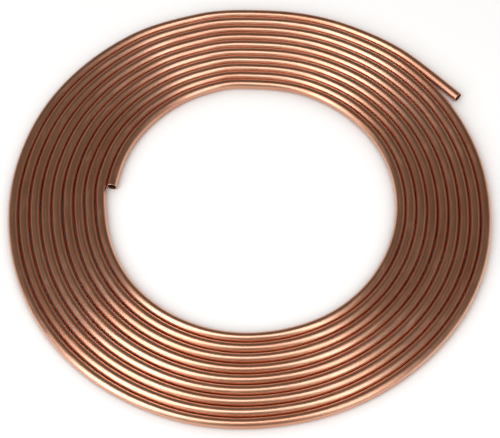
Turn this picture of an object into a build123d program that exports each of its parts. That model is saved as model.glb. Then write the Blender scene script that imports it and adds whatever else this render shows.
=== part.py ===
from build123d import *
import os
from math import degrees

# Coil of soft copper tube: one long tube wound in a single flat layer, lying on the floor.
# Sizes are in millimetres. Angles are in degrees, counterclockwise from +X seen from above.
# Seen from above the tube runs counterclockwise from its outer end in to its inner end.
# Half of every turn is round a far centre and half round a near one, half a pitch apart,
# so the coil is a few turned rows of round sections, and they join into a true spiral.

# Tube
tube_diameter = 9.52
tube_wall = 0.8
bore_depth = 24.0
mouth_bevel = 0.2

# Winding
turns = 9
eye_diameter = 267.0
turn_gap = 0.2
seam_height = 2.0

# Ends
outer_end_angle = 44.0
overlap_arc = 128.0
relaxed_length = 32.0
relaxed_radius = 900.0
straight_length = 26.0

# Worked out from the driving sizes
half_turn = 180
tube_radius = tube_diameter / 2
bore_radius = tube_radius - tube_wall
pitch = tube_diameter + turn_gap
inner_end_angle = outer_end_angle + overlap_arc
near_start_angle = (outer_end_angle + inner_end_angle - half_turn) / 2
lone_arc = (half_turn - overlap_arc) / 2
far_radius = eye_diameter / 2 + tube_radius + (turns - 1) * pitch
near_radius = far_radius + pitch / 2
inner_end_radius = near_radius - turns * pitch
relaxed_arc = degrees(relaxed_length / relaxed_radius)
bore_arc = degrees(bore_depth / inner_end_radius)


def outward(angle):
    """Level direction at an angle."""
    return Vector(1, 0, 0).rotate(Axis.Z, angle)


def clockwise(axis):
    """The same axis with its direction turned round."""
    return Axis(axis.position, -axis.direction)


def upright_plane(axis, angle):
    """Upright plane through an axis, with its x pointing away from it at an angle."""
    return Plane(origin=axis.position, x_dir=outward(angle), z_dir=outward(angle).cross(axis.direction))


def tube_section(plane, radius, distance):
    """One round section at a distance from the plane's axis, as high as the tube's middle."""
    with BuildSketch(plane) as section:
        with Locations((distance, tube_radius)):
            Circle(radius)
    return section.sketch


def section_row(plane, outermost, count):
    """Sections of neighbouring turns, with the thin seam along which they touch."""
    row_width = (count - 1) * pitch
    with BuildSketch(plane) as row:
        with Locations((outermost - row_width / 2, tube_radius)):
            with GridLocations(pitch, pitch, count, 1):
                Circle(tube_radius)
            Rectangle(row_width, seam_height)
    return row.sketch


def turned_row(axis, start_angle, arc, outermost, count):
    """Turns the sections of neighbouring turns about an axis, as a sector of the coil."""
    row = section_row(upright_plane(axis, start_angle), outermost, count)
    revolve(row, axis=axis, revolution_arc=arc)


# Centres that the far half, the near half and the relaxed stretch of the outer end bend round
far_axis = Axis.Z
near_axis = Axis(outward(near_start_angle) * pitch / 2, (0, 0, 1))
relaxed_centre = near_axis.position + outward(outer_end_angle) * (near_radius - relaxed_radius)
relaxed_axis = Axis(relaxed_centre, (0, 0, 1))

# Planes across the tube where its ends begin and where they are cut
relaxed_plane = upright_plane(relaxed_axis, outer_end_angle)
straight_plane = upright_plane(relaxed_axis, outer_end_angle - relaxed_arc)
outer_cut_plane = straight_plane.offset(straight_length)
inner_cut_plane = upright_plane(near_axis, inner_end_angle)

with BuildPart() as winding:
    # Far half of every turn
    turned_row(far_axis, near_start_angle + half_turn, half_turn, far_radius, turns)

    # Near half: up to the outer end, where both ends lie side by side, and past the inner end
    turned_row(near_axis, near_start_angle, lone_arc, near_radius - pitch, turns)
    turned_row(near_axis, outer_end_angle, overlap_arc, near_radius, turns + 1)
    turned_row(near_axis, inner_end_angle, lone_arc, near_radius, turns)

    # Free outer end, which springs away from the coil and ends straight
    relaxed = tube_section(relaxed_plane, tube_radius, relaxed_radius)
    revolve(relaxed, axis=clockwise(relaxed_axis), revolution_arc=relaxed_arc)
    extrude(tube_section(straight_plane, tube_radius, relaxed_radius), amount=straight_length)

    # Open mouth of the outer end, bored straight
    outer_mouth = tube_section(outer_cut_plane, bore_radius, relaxed_radius)
    extrude(outer_mouth, amount=-bore_depth, mode=Mode.SUBTRACT)

    # Open mouth of the inner end, bored back along its curve
    inner_mouth = tube_section(inner_cut_plane, bore_radius, inner_end_radius)
    revolve(inner_mouth, axis=clockwise(near_axis), revolution_arc=bore_arc, mode=Mode.SUBTRACT)

    # Cut edges of both mouths
    flat_faces = winding.faces().filter_by(GeomType.PLANE)
    outer_cut = outer_cut_plane.from_local_coords(Vector(relaxed_radius, tube_radius, 0))
    inner_cut = inner_cut_plane.from_local_coords(Vector(inner_end_radius, tube_radius, 0))
    outer_face = flat_faces.sort_by_distance(outer_cut)[0]
    inner_face = flat_faces.sort_by_distance(inner_cut)[0]
    chamfer(outer_face.edges() + inner_face.inner_wires()[0].edges(), length=mouth_bevel)

# Centred on the origin, on the floor
box = winding.part.bounding_box()
coil = winding.part.moved(Location((-box.center().X, -box.center().Y, -box.min.Z)))

os.makedirs("parts", exist_ok=True)
coil.label = "copper_tube_coil"
export_step(coil, "parts/copper_tube_coil.step")
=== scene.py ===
from math import ceil, cos, pi, radians, sin

import bpy
import numpy as np
from bpy.props import FloatProperty, FloatVectorProperty, IntProperty, PointerProperty
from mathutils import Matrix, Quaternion, Vector


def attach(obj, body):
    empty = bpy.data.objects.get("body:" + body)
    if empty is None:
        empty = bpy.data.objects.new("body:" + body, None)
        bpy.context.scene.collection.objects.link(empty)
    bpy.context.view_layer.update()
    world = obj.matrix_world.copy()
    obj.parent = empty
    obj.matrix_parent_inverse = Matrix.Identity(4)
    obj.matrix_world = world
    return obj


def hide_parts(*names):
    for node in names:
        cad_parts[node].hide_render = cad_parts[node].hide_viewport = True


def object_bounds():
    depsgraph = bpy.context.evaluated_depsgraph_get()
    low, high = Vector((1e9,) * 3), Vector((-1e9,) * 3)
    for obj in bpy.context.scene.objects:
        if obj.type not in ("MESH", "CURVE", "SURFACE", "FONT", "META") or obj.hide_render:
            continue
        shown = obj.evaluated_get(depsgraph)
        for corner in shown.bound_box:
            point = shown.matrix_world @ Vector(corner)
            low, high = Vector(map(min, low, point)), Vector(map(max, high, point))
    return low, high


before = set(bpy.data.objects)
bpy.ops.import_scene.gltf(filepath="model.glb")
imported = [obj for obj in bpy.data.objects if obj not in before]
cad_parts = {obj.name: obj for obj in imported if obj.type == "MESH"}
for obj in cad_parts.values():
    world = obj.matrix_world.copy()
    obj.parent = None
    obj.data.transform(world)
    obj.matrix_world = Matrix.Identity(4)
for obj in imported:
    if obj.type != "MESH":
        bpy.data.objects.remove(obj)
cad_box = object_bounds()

bl_info = {
    "name": "Copper Tube Coil",
    "version": (1, 0, 0),
    "blender": (4, 5, 0),
    "location": "View3D > Sidebar > Tube Coil",
    "description": "Winds a flat coil of soft copper tube and lights it on a pale floor",
    "category": "Add Mesh",
}

COIL_NODE = "copper_tube_coil"


# Properties


class TubeSizes(bpy.types.PropertyGroup):
    """Sizes of the tube and of the way it is wound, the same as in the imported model"""

    diameter: FloatProperty(
        name="Tube diameter",
        description="Outside diameter of the tube",
        default=0.00952,
        unit="LENGTH",
    )
    wall: FloatProperty(
        name="Wall",
        description="Thickness of the tube's wall",
        default=0.0008,
        unit="LENGTH",
    )
    turn_gap: FloatProperty(
        name="Turn gap",
        description="Play between neighbouring turns",
        default=0.0002,
        unit="LENGTH",
    )
    turns: IntProperty(
        name="Turns",
        description="Whole turns, without the stretch where both ends overlap",
        default=9,
    )
    eye: FloatProperty(
        name="Eye",
        description="Diameter of the open eye",
        default=0.267,
        unit="LENGTH",
    )
    outer_end: FloatProperty(
        name="Outer end",
        description="Angle where the straight end leaves the coil",
        default=radians(44),
        subtype="ANGLE",
    )
    overlap: FloatProperty(
        name="Overlap",
        description="Arc over which both ends lie side by side",
        default=radians(128),
        subtype="ANGLE",
    )
    relaxed: FloatProperty(
        name="Relaxed stretch",
        description="Length of the outer end that springs open",
        default=0.032,
        unit="LENGTH",
    )
    relaxed_radius: FloatProperty(
        name="Relaxed radius",
        description="Bend of the outer end that springs open",
        default=0.9,
        unit="LENGTH",
    )
    straight: FloatProperty(
        name="Straight end",
        description="Length of the straight outer end",
        default=0.026,
        unit="LENGTH",
    )
    bevel: FloatProperty(
        name="Bevel",
        description="Broken edge of the cut ends",
        default=0.0002,
        unit="LENGTH",
    )


class CopperFinish(bpy.types.PropertyGroup):
    """Colours and gloss of the copper"""

    bright: FloatVectorProperty(
        name="Bright copper",
        description="Colour of the clean drawn surface",
        subtype="COLOR",
        default=(0.94, 0.53, 0.36),
    )
    # Colour of tarnished copper, which is also painted as shade between the turns
    browned: FloatVectorProperty(
        name="Browned copper",
        description="Colour where the tube has tarnished",
        subtype="COLOR",
        default=(0.60, 0.20, 0.08),
    )
    cut: FloatVectorProperty(
        name="Cut copper",
        description="Colour of the freshly cut ends",
        subtype="COLOR",
        default=(0.93, 0.62, 0.50),
    )
    bore: FloatVectorProperty(
        name="Bore",
        description="Colour inside the tube",
        subtype="COLOR",
        default=(0.42, 0.21, 0.14),
    )
    roughness: FloatProperty(
        name="Roughness",
        description="Gloss of the drawn surface",
        default=0.27,
        min=0,
        max=1,
    )


class StudioSetup(bpy.types.PropertyGroup):
    """Camera, floor and lamps"""

    elevation: FloatProperty(
        name="Camera elevation",
        description="Angle of the view above the floor",
        default=radians(59.1),
        subtype="ANGLE",
    )
    roll: FloatProperty(
        name="Camera roll",
        description="Tilt of the picture",
        default=radians(1.44),
        subtype="ANGLE",
    )
    distance: FloatProperty(
        name="Camera distance",
        description="From the coil's centre",
        default=1.295,
        unit="LENGTH",
    )
    lens: FloatProperty(name="Lens", description="Focal length in millimetres", default=100.8)
    floor: FloatVectorProperty(
        name="Floor",
        description="Colour of the floor",
        subtype="COLOR",
        default=(0.8, 0.8, 0.8),
    )


# Shader expressions

# The Mix node has sockets of the same name for numbers, vectors and colours
MIX_COLOUR_A, MIX_COLOUR_B, MIX_COLOUR_RESULT = 6, 7, 2


class Socket:
    """A value in a shader that Python's operators add Math nodes to"""

    def __init__(self, shader, link):
        self.shader = shader
        self.link = link

    def math(self, operation, *values):
        return self.shader.node("ShaderNodeMath", {"operation": operation}, dict(enumerate(values)))

    def __add__(self, other):
        return self.math("ADD", self, other)

    def __sub__(self, other):
        return self.math("SUBTRACT", self, other)

    def __mul__(self, other):
        return self.math("MULTIPLY", self, other)

    def __rsub__(self, other):
        return self.math("SUBTRACT", other, self)

    __radd__ = __add__
    __rmul__ = __mul__

    def clamped(self):
        return self.math("MINIMUM", self.math("MAXIMUM", self, 0.0), 1.0)


class Shader:
    """A material's node tree, built from plain calls"""

    def __init__(self, name):
        self.material = bpy.data.materials.new(name)
        self.material.use_nodes = True
        self.tree = self.material.node_tree
        self.tree.nodes.clear()

    def node(self, kind, settings=None, values=None, output=0):
        """Adds a node: its settings first, then the values or links of its sockets"""
        made = self.tree.nodes.new(kind)
        for name, value in (settings or {}).items():
            if name == "stops":
                self.set_stops(made.color_ramp, value)
            else:
                setattr(made, name, value)
        for name, value in (values or {}).items():
            if isinstance(value, Socket):
                self.tree.links.new(value.link, made.inputs[name])
            else:
                made.inputs[name].default_value = value
        return Socket(self, made.outputs[output])

    def set_stops(self, ramp, stops):
        while len(ramp.elements) < len(stops):
            ramp.elements.new(1.0)
        for element, (place, level) in zip(ramp.elements, stops):
            element.position = place
            element.color = (level, level, level, 1)

    def noise(self, place, scale=1.0, detail=3.0, roughness=0.5):
        values = {"Vector": place, "Scale": scale, "Detail": detail, "Roughness": roughness}
        return self.node("ShaderNodeTexNoise", values=values)

    def stretched(self, place, x, y, z):
        values = {0: place, 1: (x, y, z)}
        return self.node("ShaderNodeVectorMath", {"operation": "MULTIPLY"}, values)

    def ramp(self, factor, *stops):
        return self.node("ShaderNodeValToRGB", {"stops": stops}, {"Fac": factor})

    def mix(self, factor, first, second):
        values = {"Factor": factor, MIX_COLOUR_A: first, MIX_COLOUR_B: second}
        return self.node("ShaderNodeMix", {"data_type": "RGBA"}, values, MIX_COLOUR_RESULT)

    def finish(self, surface):
        output = self.tree.nodes.new("ShaderNodeOutputMaterial")
        self.tree.links.new(surface.link, output.inputs["Surface"])
        return self.material


def opaque(colour):
    return (*colour, 1.0)


# Materials

# Noise cells in a metre of tube: along it, across it and up
STREAKS = (6, 900, 900)
FINE_STREAKS = (25, 4000, 4000)
PATCHES = (9, 60, 60)
SMUDGES = (45, 220, 220)

# Tube radii in a metre, which makes a height on the tube run from -1 to 1
RADII_IN_A_METRE = 210.0


def drawn_copper(finish):
    """Drawn copper: streaks along the tube, brown tarnishing and painted shade between turns, and
    handling marks
    """
    shader = Shader("drawn_copper")
    along = shader.node("ShaderNodeAttribute", {"attribute_name": "along_tube"}, output="Vector")
    streaks = shader.noise(shader.stretched(along, *STREAKS), detail=4.0, roughness=0.6)
    fine_streaks = shader.noise(shader.stretched(along, *FINE_STREAKS), detail=2.0)
    patches = shader.noise(shader.stretched(along, *PATCHES), roughness=0.55)
    smudges = shader.noise(shader.stretched(along, *SMUDGES), detail=4.0, roughness=0.6)
    split = shader.node("ShaderNodeSeparateXYZ", values={"Vector": along}, output="Z")
    height = split * RADII_IN_A_METRE
    flank = 1.0 - height.math("ABSOLUTE", height)
    # Painted shade: the sides of the tube, where the turns meet, take the browned colour, partly
    # real tarnishing and partly the shade in the valleys between turns
    shade_and_tarnish_between_turns = shader.ramp(flank, (0.5, 0.0), (1.0, 0.5))
    in_patches = shader.ramp(patches, (0.42, 0.0), (0.75, 0.55))
    # Browning from tarnished patches, plus the painted shade between turns
    tarnish_and_painted_shade = (shade_and_tarnish_between_turns + in_patches).clamped()
    colour = shader.mix(tarnish_and_painted_shade, opaque(finish.bright), opaque(finish.browned))
    smudged = shader.ramp(smudges, (0.5, 0.0), (0.8, 0.14))
    roughness = finish.roughness + streaks * 0.10 + smudged + tarnish_and_painted_shade * 0.05
    relief = streaks * 0.6 + fine_streaks * 0.4
    bump = {"Height": relief, "Strength": 0.2, "Distance": 0.00004}
    normal = shader.node("ShaderNodeBump", values=bump)
    values = {"Base Color": colour, "Metallic": 1.0, "Roughness": roughness, "Normal": normal}
    film = {"Coat Weight": 1.0, "Coat Roughness": 0.25}
    return shader.finish(shader.node("ShaderNodeBsdfPrincipled", values=values | film))


def cut_copper(finish):
    """Bright ring of the cut ends, with the fine marks of the cutter"""
    shader = Shader("cut_copper")
    place = shader.node("ShaderNodeTexCoord", output="Object")
    marks = shader.noise(place, scale=2500.0)
    bump = {"Height": marks, "Strength": 0.3, "Distance": 0.00003}
    normal = shader.node("ShaderNodeBump", values=bump)
    values = {
        "Base Color": opaque(finish.cut),
        "Metallic": 1.0,
        "Roughness": 0.3 + marks * 0.15,
        "Normal": normal,
    }
    return shader.finish(shader.node("ShaderNodeBsdfPrincipled", values=values))


def bore_copper(finish):
    """Dull browned copper inside the tube"""
    shader = Shader("bore_copper")
    place = shader.node("ShaderNodeTexCoord", output="Object")
    film = shader.noise(place, scale=600.0)
    dark = tuple(0.7 * part for part in finish.bore)
    colour = shader.mix(film, opaque(finish.bore), opaque(dark))
    values = {"Base Color": colour, "Metallic": 1.0, "Roughness": 0.45 + film * 0.1}
    return shader.finish(shader.node("ShaderNodeBsdfPrincipled", values=values))


# Glow of the floor, as the camera sees it and as the copper mirrors it, and how near the coil
# has to be to shut it in
FLOOR_GLOW = 0.54
MIRRORED_GLOW = 0.3
SHUT_IN_REACH = 0.03


def pale_floor(colour):
    """White floor that keeps the coil's shadow, and stops glowing where the coil shuts it in"""
    shader = Shader("pale_floor")
    lit = shader.node("ShaderNodeBsdfDiffuse", values={"Color": opaque(colour)})
    seen = shader.node("ShaderNodeLightPath")
    glossy = Socket(shader, seen.link.node.outputs["Is Glossy Ray"])
    through = Socket(shader, seen.link.node.outputs["Is Transmission Ray"])
    reach = {"Distance": SHUT_IN_REACH}
    openness = shader.node("ShaderNodeAmbientOcclusion", {"samples": 16}, reach, output="AO")
    backdrop = (seen * FLOOR_GLOW + (glossy + through) * MIRRORED_GLOW) * openness * openness
    glow = shader.node("ShaderNodeEmission", values={"Color": backdrop, "Strength": 1.0})
    return shader.finish(shader.node("ShaderNodeAddShader", values={0: lit, 1: glow}))


# Tube


class Winding:
    """The tube's centre line: half of every turn round a far centre, half round a near one"""

    def __init__(self, sizes):
        self.radius = sizes.diameter / 2
        self.pitch = sizes.diameter + sizes.turn_gap
        self.outer_end = sizes.outer_end
        self.turned = sizes.turns * 2 * pi + sizes.overlap
        self.near_start = sizes.outer_end + sizes.overlap / 2 - pi / 2
        self.far_radius = sizes.eye / 2 + self.radius + (sizes.turns - 1) * self.pitch
        self.near_radius = self.far_radius + self.pitch / 2
        low = Vector(cad_box[0])
        shift = Vector((cos(self.near_start), sin(self.near_start), 0)) * self.pitch / 2
        near_x = low.x + self.near_radius + self.radius
        far_y = low.y + self.far_radius + self.radius
        self.far = Vector((near_x - shift.x, far_y, self.radius))
        self.near = self.far + shift

    def point(self, turned):
        """Place on the centre line, by the angle turned from the outer end inward"""
        angle = self.outer_end + turned
        halves, past = divmod(angle - self.near_start, pi)
        turn = halves // 2
        if halves % 2:
            centre, radius = self.far, self.far_radius - turn * self.pitch
        else:
            centre, radius = self.near, self.near_radius - turn * self.pitch
        outward = Vector((cos(angle), sin(angle), 0))
        return centre + outward * (radius + play(angle, turned / self.turned)), outward


# Play of the loose winding, counterclockwise from the outer end: the angle, and how far further
# out than a plain spiral the innermost and the outermost turn lie there, in metres, with the
# others in between. The outer end itself stays in its place, because fittings are put on it.
PLAY = (
    (radians(44), -0.0006, 0.0),
    (radians(64), -0.0006, -0.0022),
    (radians(86), -0.0014, -0.0032),
    (radians(104), 0.0018, 0.0002),
    (radians(122), 0.0026, 0.0036),
    (radians(148), 0.0026, 0.0044),
    (radians(168), 0.0016, 0.0036),
    (radians(186), -0.0010, 0.0034),
    (radians(222), 0.0002, 0.0050),
    (radians(250), 0.0, 0.0042),
    (radians(280), -0.0006, 0.0014),
    (radians(304), 0.0004, 0.0008),
    (radians(336), -0.0002, 0.0021),
    (radians(364), 0.0, 0.0002),
    (radians(386), 0.0, 0.0),
    (radians(404), -0.0006, 0.0),
)


def play(angle, inward):
    """How far outward a turn lies from its place in a plain spiral"""
    angle = (angle - PLAY[0][0]) % (2 * pi) + PLAY[0][0]
    for (start, inner_before, outer_before), (end, inner_after, outer_after) in zip(PLAY, PLAY[1:]):
        if angle <= end:
            share = (1 - cos(pi * (angle - start) / (end - start))) / 2
            innermost = inner_before + (inner_after - inner_before) * share
            outermost = outer_before + (outer_after - outer_before) * share
            return outermost + (innermost - outermost) * inward
    return 0.0


def tube_stations(winding, sizes, step):
    """Centres and outward directions along the tube, from its straight tip to its inner end"""
    start, outward = winding.point(0.0)
    centre = start - outward * sizes.relaxed_radius
    arc = sizes.relaxed / sizes.relaxed_radius
    pieces = ceil(sizes.relaxed / (winding.far_radius * step))
    relaxed = []
    for k in range(1, pieces + 1):
        angle = winding.outer_end - arc * k / pieces
        outward = Vector((cos(angle), sin(angle), 0))
        relaxed.append((centre + outward * sizes.relaxed_radius, outward))
    bend, outward = relaxed[-1]
    tip = bend + Vector((outward.y, -outward.x, 0)) * sizes.straight
    straight = [(tip.lerp(bend, k / pieces), outward) for k in range(pieces)]
    count = ceil(winding.turned / step)
    turns = [winding.point(winding.turned * k / count) for k in range(count + 1)]
    return straight + relaxed[::-1] + turns


# Material slots of the tube
COPPER, CUT, BORE = range(3)

# Fineness of the mesh: angle between its rings, sides of a ring, and the least angle of a crease
STATION_STEP = radians(2.4)
TUBE_SIDES = 28
CREASE = radians(30)


def tube_rings(stations, sizes):
    """Rings of the tube: its outside from end to end, then its bore back again, with the bevels"""
    radius = sizes.diameter / 2
    bore = radius - sizes.wall
    centres = [centre for centre, outward in stations]
    lengths = [0.0]
    for before, after in zip(centres, centres[1:]):
        lengths.append(lengths[-1] + (after - before).length)
    rings = []
    first, last = 0, len(stations) - 1

    def ring(k, ring_radius, inset, material):
        centre, outward = stations[k]
        if k == first:
            centre = centre + (stations[1][0] - centre).normalized() * inset
        if k == last:
            centre = centre + (stations[-2][0] - centre).normalized() * inset
        rings.append((centre, outward, ring_radius, lengths[k], material))

    for k in range(len(stations)):
        ring(k, radius, sizes.bevel, COPPER)
    rings[-1] = (*rings[-1][:4], CUT)
    ring(last, radius - sizes.bevel, 0.0, CUT)
    ring(last, bore + sizes.bevel, 0.0, CUT)
    for k in reversed(range(len(stations))):
        ring(k, bore, sizes.bevel, BORE)
    rings[-1] = (*rings[-1][:4], CUT)
    ring(first, bore + sizes.bevel, 0.0, CUT)
    ring(first, radius - sizes.bevel, 0.0, CUT)
    return rings


def tube_mesh(rings, sides):
    """Closed mesh through the rings, which keeps each point's place along and across the tube"""
    points, places, faces, materials = [], [], [], []
    corners = [(cos(2 * pi * k / sides), sin(2 * pi * k / sides)) for k in range(sides)]
    for row, (centre, outward, radius, length, material) in enumerate(rings):
        next_row = (row + 1) % len(rings)
        for k, (across, up) in enumerate(corners):
            point = centre + outward * (radius * across)
            points.append((point.x, point.y, point.z + radius * up))
            places.append((length, radius * across, radius * up))
            after = (k + 1) % sides
            here, there = row * sides, next_row * sides
            faces.append((here + k, there + k, there + after, here + after))
            materials.append(material)
    mesh = bpy.data.meshes.new(COIL_NODE)
    mesh.from_pydata(points, [], faces)
    mesh.polygons.foreach_set("material_index", materials)
    mesh.polygons.foreach_set("use_smooth", [True] * len(faces))
    along = mesh.attributes.new("along_tube", "FLOAT_VECTOR", "POINT")
    along.data.foreach_set("vector", np.array(places, np.float32).ravel())
    mesh.set_sharp_from_angle(angle=CREASE)
    mesh.validate()
    mesh.update()
    return mesh


class COIL_OT_add_tube(bpy.types.Operator):
    """Add the wound copper tube, open at both ends"""

    bl_idname = "coil.add_tube"
    bl_label = "Add Tube"

    def execute(self, context):
        sizes = context.scene.tube_sizes
        finish = context.scene.copper_finish
        winding = Winding(sizes)
        stations = tube_stations(winding, sizes, STATION_STEP)
        mesh = tube_mesh(tube_rings(stations, sizes), TUBE_SIDES)
        for material in (drawn_copper(finish), cut_copper(finish), bore_copper(finish)):
            mesh.materials.append(material)
        tube = bpy.data.objects.new("wound_tube", mesh)
        context.collection.objects.link(tube)
        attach(tube, "root")
        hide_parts(COIL_NODE)
        return {"FINISHED"}


# Stage

FLOOR_REACH = 6.0
FLOOR_SIDES = 96
WALL_HEIGHT = 2.0
WALL_BEND = 1.5
WALL_BEND_START = 0.15
WALL_BEND_RINGS = 10

# Lamps: name, place, width, depth and the brightness of the face
LAMPS = (
    ("left_lamp", (-0.9, -0.72, 1.25), 0.85, 2.3, 3.2),
    ("right_lamp", (0.58, -0.75, 1.25), 0.4, 2.1, 3.0),
)
SURROUNDINGS = (1.0, 0.72, 0.52, 1)
SURROUNDINGS_LEVEL = 0.1

# Where the camera aims, from the middle of the winding
AIM_OFFSET = Vector((-0.0008, -0.0179, 0))


def sweep_mesh(reach, height, bend, sides):
    """Round floor whose rim curves up into a low wall"""
    profile = [(0.0, 0.0), (reach - bend, 0.0)]
    for angle in np.linspace(WALL_BEND_START, pi / 2, WALL_BEND_RINGS):
        profile.append((reach - bend * (1 - sin(angle)), bend * (1 - cos(angle))))
    profile.append((reach, height))
    corners = [(cos(2 * pi * k / sides), sin(2 * pi * k / sides)) for k in range(sides)]
    points = [(r * x, r * y, z) for r, z in profile[1:] for x, y in corners]
    faces = [tuple(range(sides))]
    for row in range(len(profile) - 2):
        for k in range(sides):
            after = (k + 1) % sides
            here, there = row * sides, (row + 1) * sides
            faces.append((here + k, here + after, there + after, there + k))
    mesh = bpy.data.meshes.new("floor")
    mesh.from_pydata(points, [], faces)
    mesh.update()
    return mesh


def soft_lamp(name, place, aim, width, depth, radiance):
    """Rectangular lamp whose face has a plain brightness"""
    lamp = bpy.data.lights.new(name, "AREA")
    lamp.shape = "RECTANGLE"
    lamp.size = width
    lamp.size_y = depth
    lamp.energy = radiance * pi * width * depth
    item = bpy.data.objects.new(name, lamp)
    item.location = place
    item.rotation_euler = (aim - Vector(place)).to_track_quat("-Z", "Y").to_euler()
    bpy.context.collection.objects.link(item)


class COIL_OT_add_stage(bpy.types.Operator):
    """Add the pale floor, the lamps and the camera"""

    bl_idname = "coil.add_stage"
    bl_label = "Add Stage"

    def execute(self, context):
        scene = context.scene
        setup = scene.studio_setup
        middle = Winding(scene.tube_sizes).far
        sweep = sweep_mesh(FLOOR_REACH, WALL_HEIGHT, WALL_BEND, FLOOR_SIDES)
        floor = bpy.data.objects.new("floor", sweep)
        floor.data.materials.append(pale_floor(setup.floor))
        context.collection.objects.link(floor)
        for name, place, width, depth, radiance in LAMPS:
            soft_lamp(name, place, middle, width, depth, radiance)
        world = bpy.data.worlds.new("studio")
        world.use_nodes = True
        background = world.node_tree.nodes["Background"]
        background.inputs["Color"].default_value = SURROUNDINGS
        background.inputs["Strength"].default_value = SURROUNDINGS_LEVEL
        scene.world = world
        camera = bpy.data.cameras.new("camera")
        camera.lens = setup.lens
        view = bpy.data.objects.new("camera", camera)
        toward = Vector((0, -cos(setup.elevation), sin(setup.elevation)))
        view.location = middle + toward * setup.distance
        aim = middle + AIM_OFFSET
        level = (aim - view.location).to_track_quat("-Z", "Y")
        view.rotation_euler = (level @ Quaternion((0, 0, 1), -setup.roll)).to_euler()
        context.collection.objects.link(view)
        scene.camera = view
        scene.view_settings.view_transform = "Standard"
        return {"FINISHED"}


class COIL_PT_panel(bpy.types.Panel):
    """The coil's operators and sizes in the sidebar"""

    bl_idname = "COIL_PT_panel"
    bl_label = "Copper Tube Coil"
    bl_space_type = "VIEW_3D"
    bl_region_type = "UI"
    bl_category = "Tube Coil"

    def draw(self, context):
        scene = context.scene
        for group in (scene.tube_sizes, scene.copper_finish, scene.studio_setup):
            for name in group.__annotations__:
                self.layout.prop(group, name)
        self.layout.operator(COIL_OT_add_tube.bl_idname)
        self.layout.operator(COIL_OT_add_stage.bl_idname)


CLASSES = (TubeSizes, CopperFinish, StudioSetup, COIL_OT_add_tube, COIL_OT_add_stage, COIL_PT_panel)


def register():
    for each in CLASSES:
        bpy.utils.register_class(each)
    bpy.types.Scene.tube_sizes = PointerProperty(type=TubeSizes)
    bpy.types.Scene.copper_finish = PointerProperty(type=CopperFinish)
    bpy.types.Scene.studio_setup = PointerProperty(type=StudioSetup)


def unregister():
    for each in reversed(CLASSES):
        bpy.utils.unregister_class(each)
    del bpy.types.Scene.tube_sizes
    del bpy.types.Scene.copper_finish
    del bpy.types.Scene.studio_setup


def main():
    register()
    bpy.ops.coil.add_tube()
    bpy.ops.coil.add_stage()


if __name__ == "__main__":
    main()
